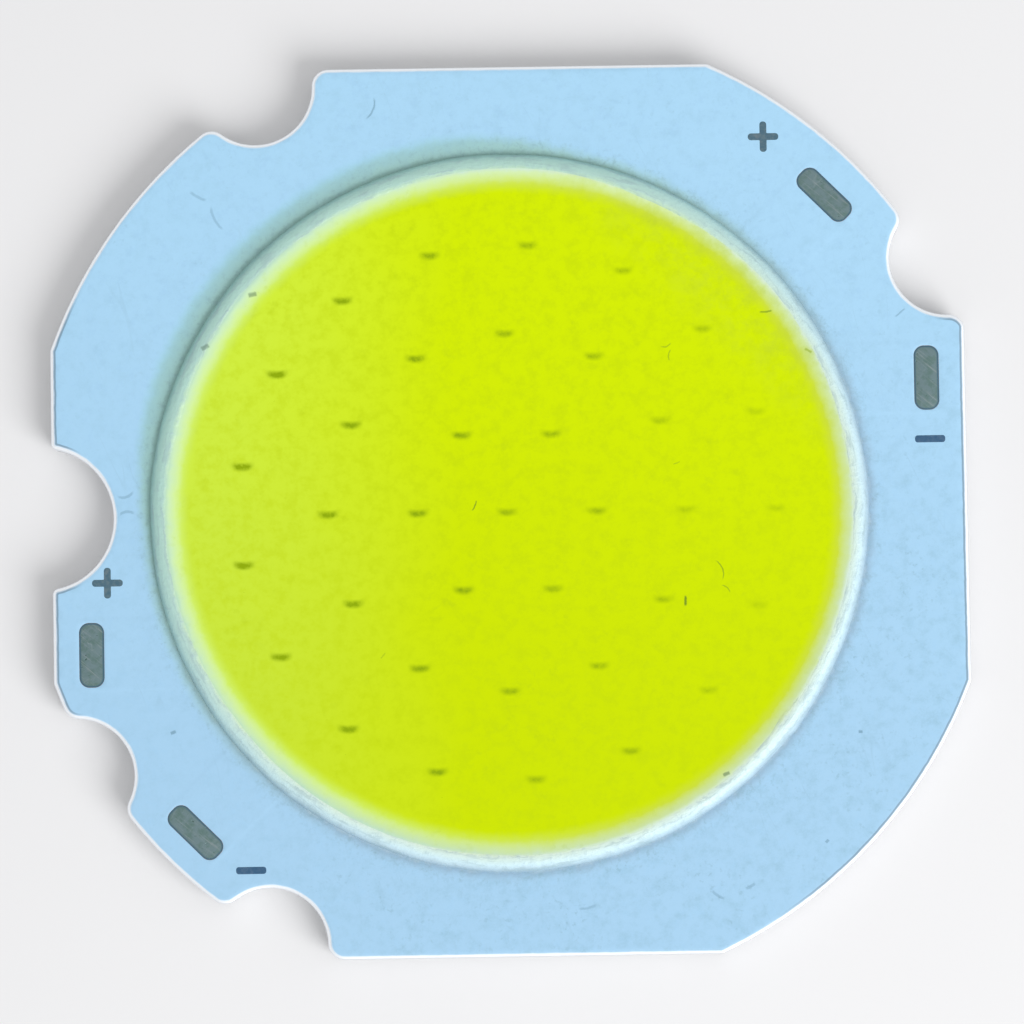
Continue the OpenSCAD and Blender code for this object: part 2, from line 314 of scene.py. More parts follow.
# Scratches: thin broken lines, each a narrow band in a stretched and bent noise.
scratches, given, result = new_effect(
    "scratches",
    [("Place", "Vector", None), ("Turn", "Float", 0.0), ("Fineness", "Float", 1.0),
     ("Share", "Float", 0.5)],
    [("Mask", "Float")])
turned = put(scratches, "VectorRotate", {"Vector": given["Place"], "Angle": given["Turn"]},
             rotation_type="Z_AXIS").outputs[0]
stretched = vector(scratches, "MULTIPLY", turned, (0.16, 1.0, 1.0))
band = noise(scratches, stretched, given["Fineness"], 1.0, 0.5, 0.6)
near_band = calc(scratches, "ABSOLUTE", calc(scratches, "SUBTRACT", band, 0.5))
line = fade(scratches, near_band, 0.012, 0.002)
broken = noise(scratches, turned, calc(scratches, "MULTIPLY", given["Fineness"], 0.45), 2.0)
shown = fade(scratches, broken, calc(scratches, "SUBTRACT", 0.95, given["Share"]), 1.0)
scratches.links.new(calc(scratches, "MULTIPLY", line, shown), result["Mask"])

edge_points, edge_normals = trace_edge(board_edge(), 0.12)
edge_rows = [
    (0.27, 0.0), (0.12, 0.0), (0.07, 0.0), (0.05, 0.012), (0.012, 0.04), (0.0, 0.09),
    (0.012, 0.30), (0.0, 0.62), (0.0, 0.70), (0.0, PLATE_TOP - 0.14), (0.01, PLATE_TOP - 0.08),
    (0.035, PLATE_TOP - 0.035), (0.075, PLATE_TOP - 0.01), (0.13, PLATE_TOP),
    (0.2, PLATE_TOP), (0.27, PLATE_TOP),
]
plate = lay_capped(
    "core_plate", [at_height(edge_points - inset * edge_normals, z) for inset, z in edge_rows],
    [0, 0, 0], [0, 0, PLATE_TOP])

plate_metal, tree, shader, place = new_finish("punched_aluminium")
split = put(tree, "SeparateXYZ", {0: place}).outputs
wall_wave = calc(tree, "MULTIPLY", noise(tree, place, 1.3, 3.0), 0.35)
torn = fade(tree, calc(tree, "ADD", split[2], wall_wave), 0.9, 0.78)
around = vector(tree, "MULTIPLY", place, (5.0, 5.0, 0.35))
shear_lines = noise(tree, around, 1.6, 3.0, 0.6)
back_grain = use(tree, drawn_grain, {"Place": place, "Turn": 0.03, "Fineness": 1.4})["Height"]
back_scratches = use(tree, scratches, {"Place": place, "Turn": 0.9, "Fineness": 0.5,
                                       "Share": 0.5})["Mask"]
at_back = fade(tree, split[2], 0.03, 0.005)
wall_colour = mixed(tree, torn, mixed(tree, shear_lines, ALUMINIUM, (0.78, 0.80, 0.82, 1)),
                    TORN_ALUMINIUM)
back_colour = mixed(tree, fade(tree, back_grain, 0.3, 0.7), PLATE_BACK, ALUMINIUM)
back_colour = mixed(tree, back_scratches, back_colour, (0.75, 0.76, 0.78, 1))
torn_gloss = calc(tree, "MULTIPLY_ADD", torn, 0.25, 0.3)
crumbled = calc(tree, "MULTIPLY", torn, noise(tree, place, 9.0, 3.0, 0.7))
relief = calc(tree, "ADD", calc(tree, "MULTIPLY", shear_lines, 0.4),
              calc(tree, "ADD", crumbled, calc(tree, "MULTIPLY", back_grain, 0.25)))
coat(tree, shader, mixed(tree, at_back, wall_colour, back_colour),
     (back_grain, 0.2, torn_gloss), relief, 0.00002, 1.0)
plate.data.materials.append(plate_metal)
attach(plate, "root")
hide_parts("base_plate")

# ---------- Insulating layer ----------
# A thin sheet of filled epoxy is pressed onto the plate before punching, and carries the copper.
# Only its cut edge shows, as a pale line between the aluminium and the solder mask.
INSULATION_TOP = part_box("dielectric_layer")[1][2] / MM
FIELD_CENTRE = np.add(*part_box("dam_ring"))[:2] / 2 / MM
layer_inset, cut_edge, die_window_r = 0.15, 0.01, 15.0

from_centre = edge_points - FIELD_CENTRE
outward = from_centre / np.linalg.norm(from_centre, axis=1, keepdims=True)
window_edge = FIELD_CENTRE + die_window_r * outward
layer_edge = edge_points - layer_inset * edge_normals
insulation = lay_tube("insulating_layer", [
    at_height(window_edge, PLATE_TOP), at_height(layer_edge, PLATE_TOP),
    at_height(layer_edge, INSULATION_TOP - cut_edge),
    at_height(layer_edge - cut_edge * edge_normals, INSULATION_TOP),
    at_height(window_edge, INSULATION_TOP)])

filled_epoxy, tree, shader, place = new_finish("filled_epoxy")
filler = noise(tree, place, 14.0, 4.0, 0.7)
clouds = noise(tree, place, 0.7, 3.0)
epoxy_colour = mixed(tree, fade(tree, clouds, 0.3, 0.7), (0.70, 0.78, 0.80, 1),
                     (0.80, 0.86, 0.87, 1))
epoxy_colour = mixed(tree, fade(tree, filler, 0.58, 0.75), epoxy_colour, (0.92, 0.94, 0.93, 1))
coat(tree, shader, epoxy_colour, (filler, 0.3, 0.4), filler, 0.00001)
insulation.data.materials.append(filled_epoxy)
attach(insulation, "root")
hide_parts("dielectric_layer")

# ---------- Copper foil ----------
# Two half rings of etched copper, one for each pole, each with two straight tabs to its pads.
# The foil lies under the mask, and its inner edge under the silicone takes the bond wires.
copper_foil, tree, shader, place = new_finish("etched_copper")
foil_grain = use(tree, drawn_grain, {"Place": place, "Turn": 0.8, "Fineness": 1.8})["Height"]
tarnish = noise(tree, place, 0.8, 4.0, 0.6)
copper_colour = mixed(tree, fade(tree, tarnish, 0.45, 0.75), (0.72, 0.33, 0.18, 1),
                      (0.42, 0.17, 0.09, 1))
copper_colour = mixed(tree, fade(tree, foil_grain, 0.5, 0.8), copper_colour, (0.85, 0.48, 0.32, 1))
coat(tree, shader, copper_colour, (tarnish, 0.35, 0.15), foil_grain, 0.000004, 1.0)


def dress(node, material):
    """Gives every material slot of a CAD node the same finish."""
    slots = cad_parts[node].data.materials
    slots.clear()
    slots.append(material)


for foil in ("copper_bus_plus", "copper_bus_minus"):
    dress(foil, copper_foil)

# ---------- Solder mask ----------
# A screen-printed coat of white ink, tinted blue by the daylight, over copper and insulation.
# It stops short of the cut edge, is open at the pads, and steps up over the copper's tabs.
COPPER_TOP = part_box("copper_bus_plus")[1][2] / MM
MASK_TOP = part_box("solder_mask")[1][2] / MM
mask_window_r, foil_step, lip, clearance = 15.8, 0.012, 0.03, 0.0015
pad_nodes = ["solder_pad_plus_top", "solder_pad_minus_right",
             "solder_pad_plus_left", "solder_pad_minus_bottom"]
pad_turns = np.radians([-45, 90, 90, -45])
tab_turns = np.radians([225, 180, 0, 45])
pad_centres = np.array([np.add(*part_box(node))[:2] / 2 / MM for node in pad_nodes])
pad_l, pad_w, pad_corner_r, tab_margin, bus_r = 3.1, 1.2, 0.48, 0.15, 16.9


def turned_by(flat, turn):
    """Flat points turned about the origin."""
    cos, sin = np.cos(turn), np.sin(turn)
    return flat @ np.array([[cos, sin], [-sin, cos]])


def bar_arcs(length, width, corner_r):
    """A bar along X with four round corners."""
    x, y, quarter = length / 2 - corner_r, width / 2 - corner_r, np.pi / 2
    return [(sx * x, sy * y, corner_r, n * quarter, (n + 1) * quarter, 1)
            for n, (sx, sy) in enumerate([(1, 1), (-1, 1), (-1, -1), (1, -1)])]


def pad_edge(number):
    """A bar turned and moved to its pad's place."""
    flat, facing = trace_edge(bar_arcs(pad_l, pad_w, pad_corner_r), 0.06)
    turn = pad_turns[number]
    return turned_by(flat, turn) + pad_centres[number], turned_by(facing, turn)


def tab_place(flat, number):
    """Places seen from a pad: how far along its tab towards the ring, and how far across."""
    return turned_by(flat - pad_centres[number], -tab_turns[number])


def over_copper(flat):
    """1 over the copper and 0 beside it, with a smooth step where the distance to the nearest
    edge of a tab's bar or of the ring passes through zero."""
    reach = np.linalg.norm(flat - FIELD_CENTRE, axis=1) - bus_r
    for number in range(4):
        along, across = tab_place(flat, number).T
        beside = np.abs(across) - pad_l / 2 - tab_margin
        behind = -along - pad_w / 2 - tab_margin
        beyond = along - 6
        reach = np.minimum(reach, np.maximum(np.maximum(beside, behind), beyond))
    step = np.clip(0.5 - reach / 0.2, 0, 1)
    return step * step * (3 - 2 * step)


def mask_sheet():
    """The upper and lower faces are the region between the board's edge, the round window and
    the pad openings, cut into triangles between evenly laid points. The height above the copper
    is the mask's, less the foil's step beside it. Lips join the two faces at every border."""
    border = edge_points - (layer_inset + lip) * edge_normals
    window_turn = np.linspace(0, 2 * np.pi, 360, endpoint=False)
    window = FIELD_CENTRE + mask_window_r * np.stack([np.cos(window_turn), np.sin(window_turn)], 1)
    openings = [pad_edge(number) for number in range(4)]
    loops = [border, window] + [flat + lip / 2 * facing for flat, facing in openings]

    line = np.arange(-23, 23, 0.4)
    lattice = np.stack(np.meshgrid(line, line), -1).reshape(-1, 2)
    steps = np.concatenate([
        turned_by(np.stack(np.meshgrid(np.arange(-0.7, 6, 0.25), side * np.array(
            [pad_l / 2 + tab_margin + d for d in (-0.12, -0.05, 0.05, 0.12)])), -1).reshape(-1, 2),
            tab_turns[number]) + pad_centres[number]
        for number in range(4) for side in (-1, 1)])
    strips = [edge_points - inset * edge_normals for inset in (0.2, 0.35)]
    inner = np.concatenate([lattice, steps] + [strip[::2] for strip in strips])
    radius = np.linalg.norm(inner - FIELD_CENTRE, axis=1)

    def in_border(flat, margin):
        reach = np.interp(np.arctan2(*flat.T[::-1]), np.arctan2(*border.T[::-1]),
                          np.linalg.norm(border, axis=1), period=2 * np.pi)
        return np.linalg.norm(flat, axis=1) < reach - margin

    def in_opening(flat, margin):
        found = np.zeros(len(flat), dtype=bool)
        for number in range(4):
            along, across = np.abs(turned_by(flat - pad_centres[number], -pad_turns[number])).T
            corner = np.hypot(np.maximum(along - pad_l / 2 + pad_corner_r, 0),
                              np.maximum(across - pad_w / 2 + pad_corner_r, 0))
            found |= corner < pad_corner_r + margin
        return found

    inner = inner[(radius > mask_window_r + 0.15) & in_border(inner, 0.14)
                  & ~in_opening(inner, 0.1)]
    corners = np.concatenate(loops + [inner])
    starts = np.cumsum([0] + [len(loop) for loop in loops])
    rings = [np.arange(a, b) for a, b in zip(starts[:-1], starts[1:])]
    edges = np.concatenate([np.stack([ring, np.roll(ring, -1)], 1) for ring in rings])
    cut = delaunay_2d_cdt([Vector(c) for c in corners.tolist()], edges.tolist(), [], 0, 1e-7)
    flat, triangles = np.array([v[:] for v in cut[0]]), np.array(cut[2])
    middle = flat[triangles].mean(axis=1)
    outside_window = np.linalg.norm(middle - FIELD_CENTRE, axis=1) > mask_window_r
    triangles = triangles[outside_window & in_border(middle, 0) & ~in_opening(middle, lip / 2)]

    count = len(flat)
    top = at_height(flat, MASK_TOP - foil_step * (1 - over_copper(flat)))
    under = at_height(flat, COPPER_TOP + clearance)
    blocks, quads = [top, under], []

    def join(ring, rows, hole):
        numbers = []
        for row in rows:
            begin = sum(len(block) for block in blocks)
            blocks.append(row)
            numbers.append(np.arange(begin, begin + len(row)))
        path = [ring] + numbers + [ring + count]
        quads.append(ring_quads(path if hole else path[::-1]))

    level = MASK_TOP - foil_step
    join(rings[0], [
        at_height(edge_points - (layer_inset + inset) * edge_normals, z)
        for inset, z in ((0.009, level - 0.009), (0, level - 0.025), (0, INSULATION_TOP),
                         (lip, INSULATION_TOP))], False)
    join(rings[1], [], True)
    for ring, (opening, facing) in zip(rings[2:], openings):
        join(ring, [at_height(opening + 0.004 * facing, MASK_TOP - 0.004),
                    at_height(opening, MASK_TOP - 0.011),
                    at_height(opening, COPPER_TOP + clearance)], True)
    faces = np.concatenate([triangles, triangles[:, ::-1] + count])
    sheet = lay_piece("solder_mask_coat", np.concatenate(blocks), np.concatenate(quads), faces)
    corners = np.concatenate(blocks)[:, :2]
    square = (corners**2).sum(1)[:, None] + (edge_points**2).sum(1) - 2 * corners @ edge_points.T
    gap = np.sqrt(np.clip(square.min(axis=1), 0, None))
    from_border = sheet.data.attributes.new("from_border", "FLOAT", "POINT")
    from_border.data.foreach_set("value", gap.astype(np.float32))
    return sheet


mask = mask_sheet()

# Where a place lies round the light field: its distance from the field's centre in millimetres,
# and how far it faces the upper left, or the left, from -1 to 1.
around_field, given, result = new_effect(
    "around_field", [("Place", "Vector", None)],
    [("Radius", "Float"), ("Upper Left", "Float"), ("Left", "Float")])
centred = vector(around_field, "SUBTRACT", given["Place"], (*FIELD_CENTRE, 0.0))
flat_place = vector(around_field, "MULTIPLY", centred, (1.0, 1.0, 0.0))
reach = vector(around_field, "LENGTH", flat_place, result="Value")
around_field.links.new(reach, result["Radius"])
direction = vector(around_field, "NORMALIZE", flat_place)
for side, axis in {"Upper Left": (-0.64, 0.77, 0.0), "Left": (-1.0, 0.0, 0.0)}.items():
    leaning = vector(around_field, "DOT_PRODUCT", direction, axis, result="Value")
    around_field.links.new(leaning, result[side])

# Dust and handling dirt: small grains gathered in loose clouds.
dirt, given, result = new_effect(
    "handling_dirt",
    [("Place", "Vector", None), ("Grain", "Float", 4.0), ("Share", "Float", 0.5)],
    [("Mask", "Float")])
clouds = noise(dirt, given["Place"], 0.35, 3.0, 0.6)
grains = noise(dirt, given["Place"], given["Grain"], 3.0, 0.6)
level = calc(dirt, "SUBTRACT", 1.0, given["Share"])
cloud_mask = fade(dirt, clouds, calc(dirt, "MULTIPLY", level, 0.7), 0.95)
grain_mask = fade(dirt, grains, 0.55, 0.72)
dirt.links.new(calc(dirt, "MULTIPLY", cloud_mask, grain_mask), result["Mask"])

# A short thin mark, such as a fibre, a scratch or a speck: a bar that bends, with rough edges.
thin_mark, given, result = new_effect("thin_mark", [
    ("Place", "Vector", None), ("Centre", "Vector", None), ("Turn", "Float", 0.0),
    ("Half Length", "Float", 0.3), ("Bend", "Float", 0.0), ("Width", "Float", 0.05)],
    [("Mask", "Float")])
offset = vector(thin_mark, "SUBTRACT", given["Place"], given["Centre"])
aligned = put(thin_mark, "VectorRotate", {"Vector": offset, "Angle": given["Turn"]},
              rotation_type="Z_AXIS").outputs[0]
lying = put(thin_mark, "SeparateXYZ", {0: aligned}).outputs
bowed = calc(thin_mark, "MULTIPLY", calc(thin_mark, "MULTIPLY", lying[0], lying[0]), given["Bend"])
rough = calc(thin_mark, "MULTIPLY_ADD", noise(thin_mark, given["Place"], 7.0, 3.0), 0.08, -0.04)
away = calc(thin_mark, "ABSOLUTE", calc(thin_mark, "ADD", rough, calc(
    thin_mark, "SUBTRACT", lying[1], bowed)))
ending = fade(thin_mark, calc(thin_mark, "ABSOLUTE", lying[0]), given["Half Length"],
              calc(thin_mark, "MULTIPLY", given["Half Length"], 0.6))
line = fade(thin_mark, away, given["Width"], calc(thin_mark, "MULTIPLY", given["Width"], 0.3))
thin_mark.links.new(calc(thin_mark, "MULTIPLY", ending, line), result["Mask"])


def marked(tree, place, under, over, marks):
    """Marks laid over a colour, each given by its place, turn, half length, bend, width and
    strength."""
    for x, y, turn, half_length, bend, width, strength in marks:
        mask = use(tree, thin_mark, {
            "Place": place, "Centre": (x, y, 0.0), "Turn": -turn, "Half Length": half_length,
            "Bend": bend, "Width": width})["Mask"]
        under = mixed(tree, calc(tree, "MULTIPLY", mask, strength), under, over)
    return under


# Colour from the edge of the fill, over the dam and its foot, out to the clean mask. The dam is
# thin and clear enough that yellow shows inside. The rows also hold painted light and shade: a
# painted highlight on the lit side of the bead, a painted shadow line at its foot and a painted
# shadow band on the mask beyond. One row of colours holds for the lit lower right and one for the
# shaded upper left, by distance in millimetres.
across_dam, given, result = new_effect(
    "across_dam", [("Radius", "Float", 0.0), ("Upper Left", "Float", 0.0)], [("Colour", "Color")])


def colour_row(tree, radius, stops):
    """Colours laid at given distances and blended evenly between them."""
    first, last = min(stops), max(stops)
    ramp = put(tree, "ValToRGB", {0: calc(tree, "DIVIDE", calc(
        tree, "SUBTRACT", radius, first), last - first)})
    elements = ramp.color_ramp.elements
    for reach, colour in sorted(stops.items())[1:-1]:
        elements.new((reach - first) / (last - first)).color = (*colour, 1)
    elements[0].color, elements[-1].color = (*stops[first], 1), (*stops[last], 1)
    return ramp.outputs[0]


LIT_LOWER_RIGHT = {
    15.2: (0.57, 0.69, 0.005), 15.8: (0.59, 0.72, 0.05), 16.3: (0.65, 0.81, 0.40),
    16.5: (0.67, 0.83, 0.72), 16.9: (0.58, 0.78, 0.85), 17.2: (0.40, 0.54, 0.64),
    17.35: (0.29, 0.44, 0.57), 17.6: (0.34, 0.53, 0.69), 18.1: (0.39, 0.62, 0.83),
}
SHADED_UPPER_LEFT = {
    15.2: (0.61, 0.83, 0.07), 15.7: (0.61, 0.83, 0.14), 16.0: (0.62, 0.83, 0.32),
    16.3: (0.56, 0.77, 0.47), 16.6: (0.42, 0.65, 0.57), 17.0: (0.42, 0.69, 0.62),
    17.25: (0.27, 0.47, 0.43), 17.5: (0.36, 0.61, 0.59), 17.9: (0.33, 0.58, 0.62),
    18.5: (0.35, 0.65, 0.79),
}
# Painted lit colours on the lower right blend into painted shaded colours on the upper left.
facing_lee = fade(across_dam, given["Upper Left"], -0.55, 0.75)
blended = mixed(across_dam, facing_lee, colour_row(across_dam, given["Radius"], LIT_LOWER_RIGHT),
                colour_row(across_dam, given["Radius"], SHADED_UPPER_LEFT))
across_dam.links.new(blended, result["Colour"])

mask_ink, tree, shader, place = new_finish("white_solder_mask")
ring = use(tree, around_field, {"Place": place})
split = put(tree, "SeparateXYZ", {0: place}).outputs
broad = noise(tree, place, 0.12, 2.0)
# The mask is painted lighter towards the top of the board, a painted fall of light.
mask_light_towards_top = calc(tree, "MULTIPLY_ADD", broad, 12.0, calc(tree, "SUBTRACT", split[1], 6.0))
mask_colour = mixed(tree, fade(tree, mask_light_towards_top, -18.0, 22.0), (0.362, 0.600, 0.815, 1),
                    (0.392, 0.668, 0.895, 1))
mottle = noise(tree, place, 2.2, 4.0, 0.7)
mask_colour = mixed(tree, fade(tree, mottle, 0.5, 0.7), mask_colour, (0.350, 0.600, 0.830, 1), 0.5)
# A painted shadow band round the dam's foot, in across_dam's colours, reaching farther out on the
# shaded upper left.
shadow_band_wave = calc(tree, "MULTIPLY_ADD", noise(tree, place, 1.6, 4.0, 0.7), 0.5, -0.25)
shadow_band_r = calc(tree, "ADD", ring["Radius"], shadow_band_wave)
dam_shadow_colour = use(tree, across_dam, {"Radius": shadow_band_r, "Upper Left": ring["Upper Left"]})[0]
shade_end = calc(tree, "MULTIPLY_ADD", fade(tree, ring["Upper Left"], 0.58, 0.92), 0.75, 17.9)
mask_colour = mixed(tree, fade(tree, shadow_band_r, shade_end, calc(tree, "SUBTRACT", shade_end, 0.7)),
                    mask_colour, dam_shadow_colour)
grime = use(tree, dirt, {"Place": place, "Grain": 3.6, "Share": 0.55})["Mask"]
downhill = calc(tree, "SUBTRACT", split[0], calc(tree, "MULTIPLY", split[1], 1.3))
below = fade(tree, downhill, 2.0, 26.0)
mask_colour = mixed(tree, grime, mask_colour, (0.20, 0.36, 0.43, 1),
                    calc(tree, "MULTIPLY_ADD", below, 0.5, 0.3))
smears = noise(tree, place, 1.3, 6.0, 0.75)
mask_colour = mixed(tree, fade(tree, smears, 0.42, 0.78), mask_colour, (0.250, 0.450, 0.570, 1),
                    calc(tree, "MULTIPLY_ADD", below, 0.3, 0.22))
# Grainy darkening near the dam's foot breaks up the painted shadow band there.
grainy_noise = calc(tree, "MULTIPLY", fade(tree, noise(tree, place, 3.4, 5.0, 0.75), 0.48, 0.7),
              fade(tree, shadow_band_r, 18.4, 17.4))
mask_colour = mixed(tree, grainy_noise, mask_colour, (0.20, 0.34, 0.38, 1), 0.4)
# The outermost strip is painted pale, partly the bare cut edge and partly a painted edge highlight,
# and inside it on the sides and the lower right runs a thin painted shadow line where the mask ends.
border_gap = put(tree, "Attribute", attribute_name="from_border").outputs["Fac"]
edge_strip_reach = calc(tree, "MULTIPLY_ADD", noise(tree, place, 1.4, 3.0), 0.08, border_gap)
shadow_line_side = fade(tree, calc(tree, "ABSOLUTE", split[0]), 20.4, 21.4)
shadow_line_side = calc(tree, "MAXIMUM", shadow_line_side, calc(
    tree, "MULTIPLY", fade(tree, below, 0.75, 0.9), fade(tree, split[0], 12.0, 15.0)))
painted_shadow_line = calc(tree, "MULTIPLY", fade(tree, calc(tree, "ABSOLUTE", calc(
    tree, "SUBTRACT", edge_strip_reach, 0.27)), 0.08, 0.03), shadow_line_side)
mask_colour = mixed(tree, painted_shadow_line, mask_colour, (0.14, 0.21, 0.28, 1), 0.7)
mask_colour = mixed(tree, fade(tree, edge_strip_reach, 0.27, 0.17), mask_colour, (0.82, 0.90, 0.98, 1))
marks = use(tree, scratches, {"Place": place, "Turn": 1.25, "Fineness": 0.8, "Share": 0.5})["Mask"]
mask_colour = mixed(tree, marks, mask_colour, (0.20, 0.34, 0.42, 1), 0.35)
mask_colour = marked(tree, place, mask_colour, (0.10, 0.22, 0.30, 1), [
    (-6.3, 19.4, 1.2, 0.6, 0.5, 0.07, 0.5), (-14.8, 15.3, -0.5, 0.5, 0.2, 0.1, 0.3),
    (-14.0, 14.2, -1.1, 0.7, 0.3, 0.09, 0.3), (-16.3, -10.4, 0.4, 0.16, 0.0, 0.11, 0.6),
    (16.6, -10.9, 0.0, 0.12, 0.0, 0.1, 0.6), (14.9, -16.1, 0.8, 0.12, 0.0, 0.1, 0.5),
    (-18.4, 0.9, 0.3, 0.45, 0.9, 0.1, 0.35), (-18.4, 0.2, 0.1, 0.4, -0.9, 0.1, 0.35),
    (9.6, -18.6, -0.6, 0.4, 0.4, 0.1, 0.35), (11.2, -18.2, 0.5, 0.3, 0.6, 0.1, 0.35),
    (18.9, 9.2, 0.7, 0.35, 0.0, 0.06, 0.4), (3.4, -19.1, 0.2, 0.5, 0.3, 0.08, 0.3)])
orange_peel = noise(tree, place, 3.0, 3.0, 0.6)
coat(tree, shader, mask_colour, (mottle, 0.2, 0.38), orange_peel, 0.000008)
mask.data.materials.append(mask_ink)
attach(mask, "root")
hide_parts("solder_mask")

# ---------- Solder pads ----------
# Each pad is copper left open by the mask and tinned by dipping in molten solder and blowing it
# level, so it is a low cushion of dull tin scratched by test probes, with painted shade round its
# edge.
pad_metal, tree, shader, place = new_finish("levelled_tin")
edge_mask = put(tree, "Attribute", attribute_name="from_edge").outputs["Fac"]
blotches = noise(tree, place, 2.4, 4.0, 0.6)
wiped = use(tree, drawn_grain, {"Place": place, "Turn": 0.7, "Fineness": 2.2})["Height"]
tin_colour = mixed(tree, fade(tree, blotches, 0.4, 0.66), (0.155, 0.225, 0.240, 1),
                   (0.115, 0.185, 0.175, 1))
tin_colour = mixed(tree, fade(tree, wiped, 0.52, 0.75), tin_colour, (0.24, 0.29, 0.30, 1))
pits = fade(tree, noise(tree, place, 5.5, 2.0), 0.66, 0.74)
tin_colour = mixed(tree, pits, tin_colour, (0.045, 0.085, 0.07, 1), 0.8)
probe_marks = use(tree, scratches, {"Place": place, "Turn": 2.2, "Fineness": 1.6,
                                    "Share": 0.6})["Mask"]
tin_colour = mixed(tree, probe_marks, tin_colour, (0.38, 0.43, 0.44, 1), 0.6)
# Painted shade along the pad's sloping edge and the mask's wall beside it.
painted_edge_shade = fade(tree, calc(tree, "MULTIPLY_ADD", blotches, 0.06, edge_mask), 0.17, 0.06)
tin_colour = mixed(tree, painted_edge_shade, tin_colour, (0.065, 0.13, 0.175, 1))
tin_relief = calc(tree, "SUBTRACT", wiped, calc(tree, "MULTIPLY", pits, 0.6))
coat(tree, shader, tin_colour, (blotches, 0.35, 0.22), tin_relief, 0.000012, 1.0)

for number, node in enumerate(pad_nodes):
    flat, facing = pad_edge(number)
    insets = np.array([0.006, 0.006, 0.03, 0.08, 0.16, 0.26, 0.36, 0.46])
    swell = 0.028 * (1 - (1 - insets / 0.6) ** 2)
    heights = COPPER_TOP + 0.01 + swell
    heights[0] = COPPER_TOP + 0.001
    rows = [at_height(flat - inset * facing, z) for inset, z in zip(insets, heights)]
    pad = lay_capped(node.replace("solder_pad", "tinned_pad"), rows,
                     [*pad_centres[number], heights[0]],
                     [*pad_centres[number], heights[-1] + 0.001])
    from_edge = pad.data.attributes.new("from_edge", "FLOAT", "POINT")
    from_edge.data.foreach_set(
        "value", np.concatenate([np.repeat(insets, len(flat)), [0.5, 0.6]]).astype(np.float32))
    pad.data.materials.append(pad_metal)
    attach(pad, "root")
    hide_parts(node)

# ---------- Polarity marks ----------
# A plus or a minus is printed in dark blue-grey ink beside each pad, through a screen, so its
# film is about a hundredth of a millimetre thick, with round ends and slightly uneven cover.
ink_film, tree, shader, place = new_finish("printed_ink")
cover = noise(tree, place, 5.0, 4.0, 0.65)
thin_spots = fade(tree, noise(tree, place, 1.7, 3.0), 0.5, 0.7)
ink_colour = mixed(tree, fade(tree, cover, 0.4, 0.65), (0.045, 0.115, 0.165, 1),
                   (0.085, 0.150, 0.185, 1))
ink_colour = mixed(tree, thin_spots, ink_colour, (0.17, 0.20, 0.215, 1), 0.45)
coat(tree, shader, ink_colour, (cover, 0.25, 0.4), cover, 0.000004)

# The minus signs took more ink, so every colour in their copy of the film is darker.
dark_ink_film = ink_film.copy()
dark_ink_film.name = "printed_ink_thick"
darker = dark_ink_film.node_tree
for node in darker.nodes:
    if node.type == "MIX" and node.data_type == "RGBA":
        node.inputs[6].default_value = (0.014, 0.080, 0.170, 1)
        node.inputs[7].default_value = (0.045, 0.110, 0.200, 1)


def cross_arcs(length, width, corner_r, fillet_r):
    """Four arms, a quarter turn apart: two round corners at an arm's end, and then the fillet
    in the angle before the next arm."""
    x, y, quarter, arcs = length / 2 - corner_r, width / 2 - corner_r, np.pi / 2, []
    inner = width / 2 + fillet_r
    for n in range(4):
        turn = n * quarter
        corner, other, fillet = turned_by(np.array([[x, -y], [x, y], [inner, inner]]), turn)
        arcs += [(*corner, corner_r, turn - quarter, turn, 1),
                 (*other, corner_r, turn, turn + quarter, 1),
                 (*fillet, fillet_r, turn + quarter, turn, -1)]
    return arcs


mark_base = MASK_TOP - foil_step
marks = {
    "plus_mark_top": ((12.46, 17.80), cross_arcs(1.47, 0.33, 0.15, 0.04)),
    "minus_mark_right": ((20.22, 3.10), bar_arcs(1.45, 0.34, 0.13)),
    "plus_mark_left": ((-19.36, -3.21), cross_arcs(1.47, 0.33, 0.15, 0.04)),
    "minus_mark_bottom": ((-12.66, -17.05), bar_arcs(1.44, 0.34, 0.13)),
}
for name, (centre, arcs) in marks.items():
    flat, facing = trace_edge(arcs, 0.03)
    rows = [at_height(centre + flat - inset * facing, mark_base + z)
            for inset, z in ((0, -0.002), (0, 0.004), (0.012, 0.008), (0.05, 0.009))]
    mark = lay_capped(name, rows, [*centre, mark_base - 0.002], [*centre, mark_base + 0.009], 60)
    mark.data.materials.append(ink_film if name.startswith("plus") else dark_ink_film)
    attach(mark, "root")

# ---------- Dies and bond wires ----------
# Thirty-six blue dies are glued to the bare aluminium and joined into two strings by gold wires,
# a ball at each end. The fill covers them, so only their shadows are seen.
die_chip, tree, shader, place = new_finish("blue_die")
mesa = noise(tree, place, 6.0, 2.0)
sheen = noise(tree, place, 1.2, 2.0)
die_colour = mixed(tree, fade(tree, mesa, 0.45, 0.6), (0.10, 0.16, 0.42, 1), (0.30, 0.36, 0.52, 1))
die_colour = mixed(tree, fade(tree, sheen, 0.5, 0.7), die_colour, (0.46, 0.40, 0.18, 1))
coat(tree, shader, die_colour, (mesa, 0.2, 0.08))
bond_gold, tree, shader, place = new_finish("bond_gold")
drawn_wire = noise(tree, place, 18.0, 2.0)
gold_colour = mixed(tree, drawn_wire, (0.88, 0.60, 0.20, 1), (0.96, 0.74, 0.36, 1))
coat(tree, shader, gold_colour, (drawn_wire, 0.2, 0.12), metallic=1.0)
die_nodes = sorted(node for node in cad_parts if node.startswith("led_die"))
for node in die_nodes:
    dress(node, die_chip)
for node in ("bond_wires_a", "bond_wires_b"):
    dress(node, bond_gold)

